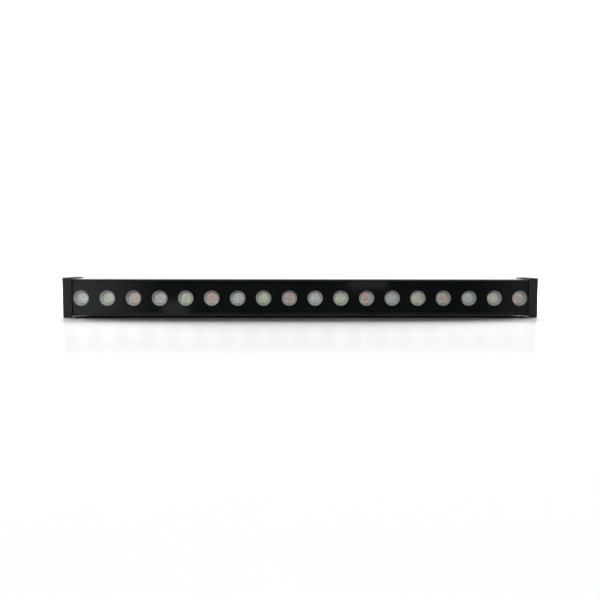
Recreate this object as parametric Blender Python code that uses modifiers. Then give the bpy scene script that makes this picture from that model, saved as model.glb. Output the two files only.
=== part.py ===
"""Linear wall washer, 600 mm over its end caps.

Metres, +Z up. X runs along the bar, the light leaves towards -Y, and the origin is on the
floor under the middle of the bar. Depths are given as a distance behind the front edge of
the end caps, and heights from the floor.
"""

import math

import bmesh
import bpy
from mathutils import Matrix, Vector

MM = 0.001

# ---- driving dimensions, in millimetres ----
CAP_HEIGHT = 50.2
CAP_THICK = 11.2
CAP_OUTER_X = 300.0
CAP_INNER_X = CAP_OUTER_X - CAP_THICK
NOSE_DEPTH = 16.0  # the full height of a cap ends here, and the bracket's foot lies behind it
PIVOT_DEPTH = 32.0
PIVOT_Z = CAP_HEIGHT / 2
CAP_RADIUS = 23.2  # round back of a cap, about the pivot
CAP_DEPTH = PIVOT_DEPTH + CAP_RADIUS
POCKET_END_X = 293.5  # the bar runs this far into a cap
FRONT_Y = -CAP_DEPTH / 2

FIT = 0.3  # clearance between pieces that touch on the real thing

BAR_HALF_X = 292.2
BAR_FRONT, BAR_BACK = 1.0, 38.0
BAR_Z, BAR_HALF = 25.35, 22.75
BAR_CHAMFER = 4.0
WALL_IN = 20.2  # half height inside the channel
LIP_IN = 20.4
GROOVE_OUT = 21.7
GROOVE_FRONT, GROOVE_BACK = 2.0, 7.2
WEB_FRONT, WEB_BACK = 22.3, 25.3
CHAMBER_BACK, CHAMBER_HALF = 34.0, 14.0
FIN_DEPTH = 2.0
PORT_HALF, PORT_R = 17.1, 1.8
PORT_FRONT, PORT_REAR = 14.0, 30.6
BOSS_IN, BOSS_START, BOSS_END = 14.0, 11.0, 17.0

LED_COUNT = 18
LED_PITCH = 32.85
LED_Z = 24.5
WINDOW_R = 9.85
LENS_R, LENS_FLANGE, LENS_HEIGHT = 10.3, 0.8, 10.6
LENS_FRONT = 7.0
BOARD_FRONT, BOARD_THICK = 19.6, 1.6
BOARD_HALF_Z = 12.4

BRACKET_THICK = 1.5
BRACKET_WIDTH = 20.0
ARM_INNER_X = 301.1
FOOT_UNDER_Z = CAP_HEIGHT - BRACKET_THICK
FOOT_END_X = 285.8
SLOT_LENGTH, SLOT_WIDTH, SLOT_X = 9.0, 6.5, 292.6

GLAND_X = 240.0
GLAND_HOLE_R = 6.4

SCREW_PORTS = [
    (PORT_FRONT, BAR_Z + PORT_HALF),
    (PORT_FRONT, BAR_Z - PORT_HALF),
    (PORT_REAR, BAR_Z + PORT_HALF),
    (PORT_REAR, BAR_Z - PORT_HALF),
]


# ---- scene and collections ----
for old in list(bpy.data.objects):
    bpy.data.objects.remove(old, do_unlink=True)

PARTS = bpy.data.collections.new("linear_wall_washer")
CUTTERS = bpy.data.collections.new("cutters")
bpy.context.scene.collection.children.link(PARTS)
bpy.context.scene.collection.children.link(CUTTERS)
CUTTERS.hide_render = True


def material(name, colour, roughness, metallic, **more):
    made = bpy.data.materials.new(name)
    made.use_nodes = True
    shader = made.node_tree.nodes["Principled BSDF"]
    shader.inputs["Base Color"].default_value = (*colour, 1.0)
    shader.inputs["Roughness"].default_value = roughness
    shader.inputs["Metallic"].default_value = metallic
    for socket, value in more.items():
        shader.inputs[socket.replace("_", " ")].default_value = value
    return made


ANODISED = material("black_anodised", (0.012, 0.012, 0.013), 0.38, 0.6)
CAP_PAINT = material("cap_satin_black", (0.016, 0.017, 0.019), 0.42, 0.0)
GLASS = material("cover_glass", (0.9, 0.95, 0.93), 0.03, 0.0, Transmission_Weight=0.9)
MASK = material("mask_black", (0.006, 0.006, 0.007), 0.5, 0.0)
LENS = material("lens_acrylic", (0.85, 0.86, 0.85), 0.08, 0.0, Transmission_Weight=0.7)
CARRIER = material("carrier_black", (0.02, 0.02, 0.02), 0.55, 0.0)
BOARD_WHITE = material("board_white", (0.8, 0.8, 0.78), 0.5, 0.0)
BOARD_GREEN = material("board_green", (0.02, 0.12, 0.05), 0.45, 0.0)
PAD_GREY = material("thermal_pad_grey", (0.35, 0.37, 0.4), 0.8, 0.0)
RUBBER = material("silicone_black", (0.02, 0.02, 0.02), 0.75, 0.0)
STEEL_BLACK = material("bracket_black", (0.018, 0.018, 0.019), 0.45, 0.3)
STAINLESS = material("stainless", (0.55, 0.55, 0.54), 0.28, 1.0)
NYLON = material("nylon_black", (0.025, 0.025, 0.026), 0.5, 0.0)
FERRITE = material("ferrite_grey", (0.06, 0.06, 0.065), 0.6, 0.0)
CAN_ALUMINIUM = material("capacitor_can", (0.5, 0.5, 0.52), 0.3, 1.0)
TERMINAL_GREEN = material("terminal_green", (0.03, 0.25, 0.08), 0.4, 0.0)


def place(depth, z, x=0.0):
    """A point in metres from a depth behind the cap fronts, a height and an X, in millimetres."""
    return Vector((x, FRONT_Y + depth, z)) * MM


def add(name, data, finish, collection=PARTS):
    obj = bpy.data.objects.new(name, data)
    collection.objects.link(obj)
    if finish:
        data.materials.append(finish)
    else:
        obj.hide_render = True
        obj.display_type = "WIRE"
    return obj


def round_shading(obj, degrees=30):
    obj.data.shade_smooth()
    obj.data.set_sharp_from_angle(angle=math.radians(degrees))


def circle(a, b, radius, count, start=0.0):
    step = 2 * math.pi / count
    return [
        (a + radius * math.cos(start + step * i), b + radius * math.sin(start + step * i))
        for i in range(count)
    ]


def arc(a, b, radius, first, last, count):
    """Points from one angle to another, in degrees, both ends included."""
    return [
        (
            a + radius * math.cos(math.radians(first + (last - first) * i / count)),
            b + radius * math.sin(math.radians(first + (last - first) * i / count)),
        )
        for i in range(count + 1)
    ]


# Axes for flat outlines: the outline's own two axes, then the way it is extruded.
ALONG_X = Matrix(((0, 0, 1), (1, 0, 0), (0, 1, 0))).to_4x4()  # outline in Y, Z
ALONG_Y = Matrix(((1, 0, 0), (0, 0, -1), (0, 1, 0))).to_4x4()  # outline in X, Z
ALONG_Z = Matrix.Identity(4)  # outline in X, Y


def flat(name, outlines, thick, axes, middle, finish, collection=PARTS):
    """A flat plate from closed outlines in millimetres, holes included, as a mesh about its middle."""
    curve = bpy.data.curves.new(name, "CURVE")
    curve.dimensions = "2D"
    curve.fill_mode = "BOTH"
    curve.extrude = thick * MM / 2
    for outline in outlines:
        spline = curve.splines.new("POLY")
        spline.points.add(len(outline) - 1)
        for point, (a, b) in zip(spline.points, outline):
            point.co = (a * MM, b * MM, 0.0, 1.0)
        spline.use_cyclic_u = True
    guide = bpy.data.objects.new(name + "_outline", curve)
    bpy.context.scene.collection.objects.link(guide)
    guide.matrix_world = Matrix.Translation(middle) @ axes
    bpy.context.view_layer.update()
    graph = bpy.context.evaluated_depsgraph_get()
    mesh = bpy.data.meshes.new_from_object(guide.evaluated_get(graph))
    mesh.name = name
    where = guide.matrix_world.copy()
    bpy.data.objects.remove(guide, do_unlink=True)
    shape = bmesh.new()
    shape.from_mesh(mesh)
    bmesh.ops.remove_doubles(shape, verts=shape.verts, dist=1e-6)
    bmesh.ops.recalc_face_normals(shape, faces=shape.faces)
    if shape.calc_volume(signed=True) < 0:
        bmesh.ops.reverse_faces(shape, faces=shape.faces)
    shape.to_mesh(mesh)
    shape.free()
    mesh.materials.clear()
    obj = add(name, mesh, finish, collection)
    obj.matrix_world = where
    return obj


def block(name, low, high, finish, collection=PARTS):
    """A box between two corners given as (x, depth, z)."""
    shape = bmesh.new()
    bmesh.ops.create_cube(shape, size=1.0)
    size = [(b - a) * MM for a, b in zip(low, high)]
    bmesh.ops.scale(shape, vec=size, verts=shape.verts)
    mesh = bpy.data.meshes.new(name)
    shape.to_mesh(mesh)
    shape.free()
    obj = add(name, mesh, finish, collection)
    obj.location = place(*((low[i] + high[i]) / 2 for i in (1, 2, 0)))
    return obj


def turned(name, profile, steps, finish, closed=False, collection=PARTS):
    """A turned piece. The profile is (radius, height) down its outer side, and the axis is local Z."""
    shape = bmesh.new()
    points = [shape.verts.new((r * MM, 0.0, h * MM)) for r, h in profile]
    for first, second in zip(points, points[1:]):
        shape.edges.new((first, second))
    if closed:
        shape.edges.new((points[-1], points[0]))
    mesh = bpy.data.meshes.new(name)
    shape.to_mesh(mesh)
    shape.free()
    obj = add(name, mesh, finish, collection)
    screw = obj.modifiers.new("turn", "SCREW")
    screw.axis = "Z"
    screw.steps = screw.render_steps = steps
    screw.use_merge_vertices = True
    screw.merge_threshold = 0.00001
    screw.use_smooth_shade = True
    return obj


def aim(obj, direction, at, spin=0.0):
    """Turns local Z to a direction and puts the origin at a point."""
    turn = Vector(direction).to_track_quat("Z", "Y").to_matrix().to_4x4()
    obj.matrix_world = Matrix.Translation(at) @ turn @ Matrix.Rotation(spin, 4, "Z")
    return obj


def cylinders(name, spots, radius, length, direction, segments):
    """One cutter made of straight cylinders centred on several points."""
    shape = bmesh.new()
    turn = Vector(direction).to_track_quat("Z", "Y").to_matrix().to_4x4()
    for spot in spots:
        bmesh.ops.create_cone(
            shape,
            cap_ends=True,
            segments=segments,
            radius1=radius * MM,
            radius2=radius * MM,
            depth=length * MM,
            matrix=Matrix.Translation(spot) @ turn,
        )
    mesh = bpy.data.meshes.new(name)
    shape.to_mesh(mesh)
    shape.free()
    return add(name, mesh, None, CUTTERS)


def boolean(obj, other, operation="DIFFERENCE"):
    cut = obj.modifiers.new(operation.lower(), "BOOLEAN")
    cut.operation = operation
    cut.solver = "EXACT"
    cut.object = other


led_xs = [(i - (LED_COUNT - 1) / 2) * LED_PITCH for i in range(LED_COUNT)]

# ---- housing extrusion ----
top = [
    (BAR_FRONT, BAR_HALF),
    (BAR_BACK - BAR_CHAMFER, BAR_HALF),
    (BAR_BACK, BAR_HALF - BAR_CHAMFER),
    (BAR_BACK, 17.6),
    (BAR_BACK - FIN_DEPTH, 17.6),
    (BAR_BACK - FIN_DEPTH, 15.4),
    (BAR_BACK, 15.4),
    (BAR_BACK, 13.4),
    (BAR_BACK - FIN_DEPTH, 13.4),
    (BAR_BACK - FIN_DEPTH, 11.2),
    (BAR_BACK, 11.2),
]
inside = [
    (WEB_FRONT, WALL_IN),
    (BOSS_END, WALL_IN),
    (BOSS_END, BOSS_IN),
    (BOSS_START, BOSS_IN),
    (BOSS_START, WALL_IN),
    (GROOVE_BACK, WALL_IN),
    (GROOVE_BACK, GROOVE_OUT),
    (GROOVE_FRONT, GROOVE_OUT),
    (GROOVE_FRONT, LIP_IN),
    (BAR_FRONT, LIP_IN),
]
section = (
    top
    + [(d, -u) for d, u in reversed(top)]
    + [(d, -u) for d, u in reversed(inside)]
    + inside
)
section = [(FRONT_Y + d, BAR_Z + u) for d, u in section]
chamber = [
    (FRONT_Y + WEB_BACK, BAR_Z - CHAMBER_HALF),
    (FRONT_Y + CHAMBER_BACK, BAR_Z - CHAMBER_HALF),
    (FRONT_Y + CHAMBER_BACK, BAR_Z + CHAMBER_HALF),
    (FRONT_Y + WEB_BACK, BAR_Z + CHAMBER_HALF),
]
ports = [circle(FRONT_Y + d, z, PORT_R, 10) for d, z in SCREW_PORTS]
housing = flat(
    "housing_extrusion",
    [section, chamber] + ports,
    2 * BAR_HALF_X,
    ALONG_X,
    Vector((0, 0, 0)),
    ANODISED,
)
boolean(
    housing,
    cylinders(
        "gland_holes",
        [place(36.0, BAR_Z, x) for x in (-GLAND_X, GLAND_X)],
        GLAND_HOLE_R,
        10.0,
        (0, 1, 0),
        16,
    ),
)
boolean(
    housing,
    cylinders(
        "wire_pass",
        [place((WEB_FRONT + WEB_BACK) / 2, BAR_Z - 8.0, x) for x in (-274.0, 274.0)],
        3.0,
        6.0,
        (0, 1, 0),
        12,
    ),
)

# ---- cover glass, its gasket and the mask plate ----
GLASS_HALF_X, GLASS_HALF = BAR_HALF_X - FIT, 21.4
glass = block(
    "cover_glass",
    (-GLASS_HALF_X, 2.3, BAR_Z - GLASS_HALF),
    (GLASS_HALF_X, 5.3, BAR_Z + GLASS_HALF),
    GLASS,
)
RING_ENDS, RING_SIDES = 1.5, 2.5


def rectangle(half_a, half_b, middle_b=0.0):
    return [
        (-half_a, middle_b - half_b),
        (half_a, middle_b - half_b),
        (half_a, middle_b + half_b),
        (-half_a, middle_b + half_b),
    ]


flat(
    "cover_gasket",
    [
        rectangle(GLASS_HALF_X, GLASS_HALF),
        rectangle(GLASS_HALF_X - RING_ENDS, GLASS_HALF - RING_SIDES),
    ],
    1.3,
    ALONG_Y,
    place(6.25, BAR_Z),
    RUBBER,
)
flat(
    "mask_plate",
    [rectangle(GLASS_HALF_X - RING_ENDS - FIT, GLASS_HALF - RING_SIDES - 0.4)]
    + [circle(x, LED_Z - BAR_Z, WINDOW_R, 18) for x in led_xs],
    1.0,
    ALONG_Y,
    place(6.1, BAR_Z),
    MASK,
)

# ---- collimator lenses and the carrier that spaces them off the board ----
LENS_PROFILE = [
    (0.0, 0.0),
    (LENS_R, 0.0),
    (LENS_R, -LENS_FLANGE),
    (8.9, -LENS_FLANGE),
    (4.8, -LENS_HEIGHT),
    (3.1, -LENS_HEIGHT),
    (2.9, -7.0),
    (0.0, -6.4),
]
first_lens = None
for number, x in enumerate(led_xs, 1):
    name = f"lens_{number:02d}"
    if first_lens is None:
        lens = first_lens = turned(name, LENS_PROFILE, 12, LENS)
    else:
        lens = bpy.data.objects.new(name, first_lens.data)
        PARTS.objects.link(lens)
        screw = lens.modifiers.new("turn", "SCREW")
        screw.axis = "Z"
        screw.steps = screw.render_steps = 12
        screw.use_merge_vertices = True
        screw.merge_threshold = 0.00001
        screw.use_smooth_shade = True
    aim(lens, (0, -1, 0), place(LENS_FRONT, LED_Z, x))

CARRIER_FRONT, CARRIER_THICK, CARRIER_HALF = 8.1, 1.5, 12.7
carrier_section = [
    (CARRIER_FRONT, CARRIER_HALF),
    (BOARD_FRONT - FIT, CARRIER_HALF),
    (BOARD_FRONT - FIT, CARRIER_HALF - 1.4),
    (CARRIER_FRONT + CARRIER_THICK, CARRIER_HALF - 1.4),
]
carrier_section = carrier_section + [(d, -u) for d, u in reversed(carrier_section)]
carrier = flat(
    "lens_carrier",
    [[(FRONT_Y + d, LED_Z + u) for d, u in carrier_section]],
    2 * 291.2,
    ALONG_X,
    Vector((0, 0, 0)),
    CARRIER,
)
boolean(
    carrier,
    cylinders(
        "lens_seats",
        [place(CARRIER_FRONT, LED_Z, x) for x in led_xs],
        9.3,
        6.0,
        (0, 1, 0),
        16,
    ),
)

# ---- LED board with its emitters, and the pad behind it ----
board = block(
    "led_board",
    (-290.9, BOARD_FRONT, LED_Z - BOARD_HALF_Z),
    (290.9, BOARD_FRONT + BOARD_THICK, LED_Z + BOARD_HALF_Z),
    BOARD_WHITE,
)
emitters = bmesh.new()
turn_front = Vector((0, -1, 0)).to_track_quat("Z", "Y").to_matrix().to_4x4()
for x in led_xs:
    for low, high, r1, r2 in ((-0.6, 1.5, 3.9, 3.9), (1.4, 3.6, 2.5, 1.5)):
        bmesh.ops.create_cone(
            emitters,
            cap_ends=True,
            segments=10,
            radius1=r1 * MM,
            radius2=r2 * MM,
            depth=(high - low) * MM,
            matrix=Matrix.Translation(place(BOARD_FRONT - (low + high) / 2, LED_Z, x))
            @ turn_front,
        )
emitter_mesh = bpy.data.meshes.new("emitters")
emitters.to_mesh(emitter_mesh)
emitters.free()
emitter_tool = add("emitters", emitter_mesh, None, CUTTERS)
union = board.modifiers.new("solder", "BOOLEAN")
union.operation = "UNION"
union.solver = "EXACT"
union.use_self = True
union.object = emitter_tool
block(
    "thermal_pad",
    (-289.9, 21.5, LED_Z - 12.0),
    (289.9, 22.0, LED_Z + 12.0),
    PAD_GREY,
)

# ---- driver board and the parts on it, in the rear chamber ----
DRIVER_FRONT = WEB_BACK + 0.6
block(
    "driver_board",
    (-80.0, DRIVER_FRONT, BAR_Z - 13.0),
    (80.0, DRIVER_FRONT + 1.6, BAR_Z + 13.0),
    BOARD_GREEN,
)
ON_BOARD = DRIVER_FRONT + 1.6 + FIT
block(
    "driver_inductor",
    (-6.0, ON_BOARD, BAR_Z - 6.0),
    (6.0, ON_BOARD + 5.0, BAR_Z + 6.0),
    FERRITE,
)
capacitor = turned(
    "driver_capacitor",
    [(0.0, 6.0), (2.6, 6.0), (2.6, -6.0), (0.0, -6.0)],
    12,
    CAN_ALUMINIUM,
)
aim(capacitor, (1, 0, 0), place(ON_BOARD + 2.6, BAR_Z + 6.0, 32.0))
block(
    "terminal_block",
    (-76.0, ON_BOARD, BAR_Z - 8.0),
    (-66.0, ON_BOARD + 5.2, BAR_Z + 8.0),
    TERMINAL_GREEN,
)

# ---- pieces at both ends ----
cap_outline = (
    [
        (FRONT_Y, 0.0),
        (FRONT_Y, CAP_HEIGHT),
        (FRONT_Y + NOSE_DEPTH, CAP_HEIGHT),
        (FRONT_Y + NOSE_DEPTH, PIVOT_Z + CAP_RADIUS),
    ]
    + arc(FRONT_Y + PIVOT_DEPTH, PIVOT_Z, CAP_RADIUS, 90, -60, 15)
    + [(FRONT_Y + PIVOT_DEPTH + 1.0, 0.0)]
)


def bar_outline(grow):
    """The outside of the bar's section, grown by a clearance."""
    front, back = FRONT_Y + BAR_FRONT - grow, FRONT_Y + BAR_BACK + grow
    half, chamfer = BAR_HALF + grow, BAR_CHAMFER + grow * (2 - math.sqrt(2))
    return [
        (front, BAR_Z - half),
        (front, BAR_Z + half),
        (back - chamfer, BAR_Z + half),
        (back, BAR_Z + half - chamfer),
        (back, BAR_Z - half + chamfer),
        (back - chamfer, BAR_Z - half),
    ]


gasket_outline = bar_outline(0.0)
# The pocket takes the end of the bar, and its upper lip is left out under the bracket's foot.
pocket_outline = bar_outline(FIT)
relief_start, relief_end = FRONT_Y + NOSE_DEPTH + 4.0, FRONT_Y + BAR_BACK - 0.5
pocket_outline[2:3] = [
    (relief_start, pocket_outline[2][1]),
    (relief_start, CAP_HEIGHT + 1.0),
    (relief_end, CAP_HEIGHT + 1.0),
    (relief_end, pocket_outline[2][1] - (relief_end - pocket_outline[2][0])),
]
gasket_window = [
    (FRONT_Y + 8.0, BAR_Z - 12.5),
    (FRONT_Y + 35.0, BAR_Z - 12.5),
    (FRONT_Y + 35.0, BAR_Z + 12.5),
    (FRONT_Y + 8.0, BAR_Z + 12.5),
]
arm_outline = (
    arc(FRONT_Y + PIVOT_DEPTH, PIVOT_Z, BRACKET_WIDTH / 2, 180, 360, 12)
    + [
        (FRONT_Y + PIVOT_DEPTH + BRACKET_WIDTH / 2, FOOT_UNDER_Z + BRACKET_THICK),
        (FRONT_Y + PIVOT_DEPTH - BRACKET_WIDTH / 2, FOOT_UNDER_Z + BRACKET_THICK),
    ]
)
PIVOT_Y = FRONT_Y + PIVOT_DEPTH


def slot_outline(middle_x, middle_y):
    straight = (SLOT_LENGTH - SLOT_WIDTH) / 2
    return arc(middle_x + straight, middle_y, SLOT_WIDTH / 2, -90, 90, 6) + arc(
        middle_x - straight, middle_y, SLOT_WIDTH / 2, 90, 270, 6
    )


CAP_MIDDLE_X = CAP_OUTER_X - CAP_THICK / 2
for side, s in (("left", -1), ("right", 1)):
    cap = flat(
        f"end_cap_{side}",
        [cap_outline],
        CAP_THICK,
        ALONG_X,
        Vector((s * CAP_MIDDLE_X, 0, 0)) * MM,
        CAP_PAINT,
    )
    soften = cap.modifiers.new("edge", "BEVEL")
    soften.width = 0.5 * MM
    soften.segments = 1
    soften.limit_method = "ANGLE"
    soften.angle_limit = math.radians(40)
    boolean(
        cap,
        cylinders(
            f"head_pockets_{side}",
            [place(d, z, s * CAP_OUTER_X) for d, z in SCREW_PORTS],
            3.3,
            6.4,
            (1, 0, 0),
            12,
        ),
    )
    boolean(
        cap,
        cylinders(
            f"screw_holes_{side}",
            [place(d, z, s * CAP_MIDDLE_X) for d, z in SCREW_PORTS],
            1.9,
            20.0,
            (1, 0, 0),
            10,
        ),
    )
    boolean(
        cap,
        cylinders(
            f"pivot_thread_{side}",
            [place(PIVOT_DEPTH, PIVOT_Z, s * CAP_OUTER_X)],
            2.75,
            10.8,
            (1, 0, 0),
            12,
        ),
    )
    boolean(
        cap,
        flat(
            f"bar_pocket_{side}",
            [pocket_outline],
            POCKET_END_X - CAP_INNER_X + 1.0,
            ALONG_X,
            Vector((s * (POCKET_END_X + CAP_INNER_X - 1.0) / 2, 0, 0)) * MM,
            None,
            CUTTERS,
        ),
    )
    flat(
        f"end_cap_gasket_{side}",
        [gasket_outline, gasket_window]
        + [circle(FRONT_Y + d, z, 1.9, 10) for d, z in SCREW_PORTS],
        0.7,
        ALONG_X,
        Vector((s * (POCKET_END_X - FIT - 0.35), 0, 0)) * MM,
        RUBBER,
    )
    for number, (d, z) in enumerate(SCREW_PORTS, 1):
        screw_piece = turned(
            f"end_cap_screw_{side}_{number}",
            [(0, 0), (2.75, -0.2), (2.75, -2.2), (1.45, -2.2), (1.45, -18.4), (0, -19.0)],
            10,
            STAINLESS,
        )
        aim(screw_piece, (s, 0, 0), place(d, z, s * (CAP_OUTER_X - 0.6)))

    # The bracket turns about its pivot, so the pivot holds its empty.
    pivot = bpy.data.objects.new(f"pivot_{side}", None)
    PARTS.objects.link(pivot)
    pivot.location = place(PIVOT_DEPTH, PIVOT_Z, s * (ARM_INNER_X + BRACKET_THICK / 2))
    bpy.context.view_layer.update()
    arm = flat(
        f"bracket_{side}",
        [arm_outline, circle(PIVOT_Y, PIVOT_Z, 2.8, 12)],
        BRACKET_THICK,
        ALONG_X,
        Vector((s * (ARM_INNER_X + BRACKET_THICK / 2), 0, 0)) * MM,
        STEEL_BLACK,
    )
    outer_x = ARM_INNER_X + BRACKET_THICK
    foot_outline = [
        (s * outer_x, PIVOT_Y - BRACKET_WIDTH / 2),
        (s * outer_x, PIVOT_Y + BRACKET_WIDTH / 2),
        (s * (FOOT_END_X + 2), PIVOT_Y + BRACKET_WIDTH / 2),
        (s * FOOT_END_X, PIVOT_Y + BRACKET_WIDTH / 2 - 2),
        (s * FOOT_END_X, PIVOT_Y - BRACKET_WIDTH / 2 + 2),
        (s * (FOOT_END_X + 2), PIVOT_Y - BRACKET_WIDTH / 2),
    ]
    foot = flat(
        f"foot_{side}",
        [foot_outline, slot_outline(s * SLOT_X, PIVOT_Y)],
        BRACKET_THICK,
        ALONG_Z,
        Vector((0, 0, FOOT_UNDER_Z + BRACKET_THICK / 2)) * MM,
        None,
        CUTTERS,
    )
    boolean(arm, foot, "UNION")
    arm.parent = pivot
    arm.matrix_parent_inverse = pivot.matrix_world.inverted()

    aim(
        turned(
            f"friction_washer_{side}",
            [(2.9, 0.25), (8.0, 0.25), (8.0, -0.25), (2.9, -0.25)],
            16,
            NYLON,
            closed=True,
        ),
        (s, 0, 0),
        place(PIVOT_DEPTH, PIVOT_Z, s * (CAP_OUTER_X + FIT + 0.25)),
    )
    aim(
        turned(
            f"pivot_washer_{side}",
            [(2.8, 0.3), (5.5, 0.3), (5.5, -0.3), (2.8, -0.3)],
            16,
            STAINLESS,
            closed=True,
        ),
        (s, 0, 0),
        place(PIVOT_DEPTH, PIVOT_Z, s * (ARM_INNER_X + BRACKET_THICK + FIT + 0.3)),
    )
    aim(
        turned(
            f"pivot_bolt_{side}",
            [
                (0.0, 0.8),
                (1.5, 0.8),
                (1.5, 2.2),
                (2.8, 2.2),
                (4.2, 1.3),
                (4.6, 0.0),
                (2.35, 0.0),
                (2.35, -8.6),
                (0.0, -8.9),
            ],
            12,
            STAINLESS,
        ),
        (s, 0, 0),
        place(PIVOT_DEPTH, PIVOT_Z, s * (ARM_INNER_X + BRACKET_THICK + FIT + 0.9)),
    )

    # ---- cable gland at this end of the back: in on the left, out on the right ----
    way = "in" if s < 0 else "out"
    at = place(BAR_BACK, BAR_Z, s * GLAND_X)
    body = aim(
        turned(
            f"gland_body_{way}",
            [
                (4.6, 8.6),
                (5.9, 8.6),
                (5.9, 2.0),
                (5.9, -7.2),
                (4.6, -7.2),
            ],
            16,
            NYLON,
            closed=True,
        ),
        (0, 1, 0),
        at,
    )
    hexagon = flat(
        f"gland_hex_{way}",
        [
            circle(s * GLAND_X, BAR_Z, 8.4, 6),
            circle(s * GLAND_X, BAR_Z, 5.2, 16),
        ],
        3.7,
        ALONG_Y,
        place(BAR_BACK + FIT + 1.85, 0.0),
        None,
        CUTTERS,
    )
    boolean(body, hexagon, "UNION")
    aim(
        turned(
            f"gland_nut_{way}",
            [
                (3.9, 16.0),
                (5.2, 16.0),
                (7.6, 12.5),
                (7.6, 4.3),
                (6.2, 4.3),
                (6.2, 9.4),
                (3.9, 12.4),
            ],
            12,
            NYLON,
            closed=True,
        ),
        (0, 1, 0),
        at,
    )
    aim(
        turned(
            f"gland_seal_{way}",
            [(3.3, 8.9), (4.3, 8.9), (4.3, 1.0), (3.3, 1.0)],
            12,
            RUBBER,
            closed=True,
        ),
        (0, 1, 0),
        at,
    )
    aim(
        turned(
            f"gland_locknut_{way}",
            [(6.2, -4.3), (7.8, -4.3), (7.8, -6.8), (6.2, -6.8)],
            12,
            NYLON,
            closed=True,
        ),
        (0, 1, 0),
        at,
    )
    board_screw = turned(
        f"led_board_screw_{side}",
        [(0, 1.6), (2.0, 1.4), (2.4, 0.0), (1.2, 0.0), (1.2, -4.0), (0, -4.4)],
        10,
        STAINLESS,
    )
    screw_x = s * (LED_PITCH * 8)
    aim(board_screw, (0, -1, 0), place(BOARD_FRONT - FIT, LED_Z + 7.5, screw_x))
    for piece, tool_name, radius, depth, length in (
        (board, "board", 1.6, BOARD_FRONT + 0.8, 3.0),
        (bpy.data.objects["thermal_pad"], "pad", 1.6, 21.75, 2.0),
        (housing, "web", 1.6, WEB_FRONT + 0.4, 3.0),
    ):
        boolean(
            piece,
            cylinders(
                f"{tool_name}_screw_hole_{side}",
                [place(depth, LED_Z + 7.5, screw_x)],
                radius,
                length,
                (0, 1, 0),
                10,
            ),
        )

for obj in PARTS.objects:
    if obj.type == "MESH" and "turn" not in obj.modifiers:
        round_shading(obj)
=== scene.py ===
import math

import bmesh
import bpy
from mathutils import Matrix, Vector


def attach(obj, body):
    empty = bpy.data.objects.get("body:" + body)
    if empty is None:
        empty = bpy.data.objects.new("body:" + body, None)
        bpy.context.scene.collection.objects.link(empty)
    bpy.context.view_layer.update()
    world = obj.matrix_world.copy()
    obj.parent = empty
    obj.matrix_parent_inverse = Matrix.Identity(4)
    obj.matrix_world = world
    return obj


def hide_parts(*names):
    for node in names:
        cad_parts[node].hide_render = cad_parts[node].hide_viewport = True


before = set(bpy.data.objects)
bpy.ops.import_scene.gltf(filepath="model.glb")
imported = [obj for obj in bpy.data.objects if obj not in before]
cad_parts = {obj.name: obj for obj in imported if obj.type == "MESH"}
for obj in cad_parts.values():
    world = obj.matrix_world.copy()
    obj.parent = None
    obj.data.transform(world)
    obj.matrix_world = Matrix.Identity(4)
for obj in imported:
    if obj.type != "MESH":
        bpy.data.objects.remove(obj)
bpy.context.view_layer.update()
MM = 0.001

# ---- the frame's own dimensions, in millimetres ----
CAP_HEIGHT, CAP_THICK, CAP_OUTER_X = 50.2, 11.2, 300.0
CAP_INNER_X, POCKET_END_X = CAP_OUTER_X - CAP_THICK, 293.5
NOSE_DEPTH, PIVOT_DEPTH, PIVOT_Z = 16.0, 32.0, 25.1
CAP_RADIUS = 23.2
FRONT_Y = -(PIVOT_DEPTH + CAP_RADIUS) / 2
PIVOT_Y = FRONT_Y + PIVOT_DEPTH
BAR_HALF_X, BAR_FRONT, BAR_BACK = 292.2, 1.0, 38.0
BAR_Z, BAR_HALF, BAR_CHAMFER = 25.35, 22.75, 4.0
LED_COUNT, LED_PITCH, LED_Z = 18, 32.85, 24.5
LENS_FRONT = 7.0
GLAND_X = 240.0
PORT_HALF = 17.1
SCREW_PORTS = [
    (14.0, BAR_Z + PORT_HALF),
    (14.0, BAR_Z - PORT_HALF),
    (30.6, BAR_Z + PORT_HALF),
    (30.6, BAR_Z - PORT_HALF),
]
led_xs = [(i - (LED_COUNT - 1) / 2) * LED_PITCH for i in range(LED_COUNT)]


# ======================= camera, light and floor =======================
camera_data = bpy.data.cameras.new("camera")
camera = bpy.data.objects.new("camera", camera_data)
bpy.context.scene.collection.objects.link(camera)
bpy.context.scene.camera = camera
FOCAL_PX, IMAGE_PX = 674.6, 600.0
camera_data.sensor_width = 36.0
camera_data.lens = FOCAL_PX / IMAGE_PX * 36.0
camera_data.clip_start, camera_data.clip_end = 0.01, 100.0
camera.location = Vector((-26.3, FRONT_Y - 850.0, 75.0)) * MM
YAW, PITCH, ROLL = math.radians(1.565), math.radians(3.535), math.radians(0.111)
camera.rotation_mode = "QUATERNION"
camera.rotation_quaternion = (
    Matrix.Rotation(-YAW, 3, "Z")
    @ Matrix.Rotation(math.pi / 2 - PITCH, 3, "X")
    @ Matrix.Rotation(ROLL, 3, "Z")
).to_quaternion()

bpy.context.scene.view_settings.view_transform = "Standard"
bpy.context.scene.view_settings.look = "None"
bpy.context.scene.view_settings.exposure = 0.0


def node(tree, kind, **values):
    made = tree.nodes.new(kind)
    for name, value in values.items():
        setattr(made, name, value)
    return made


def maths(tree, operation, a, b=None, clamp=False):
    made = node(tree, "ShaderNodeMath", operation=operation, use_clamp=clamp)
    for socket, value in zip(made.inputs, (a, b)):
        if value is None:
            continue
        if isinstance(value, (int, float)):
            socket.default_value = value
        else:
            tree.links.new(value, socket)
    return made.outputs[0]


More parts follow.
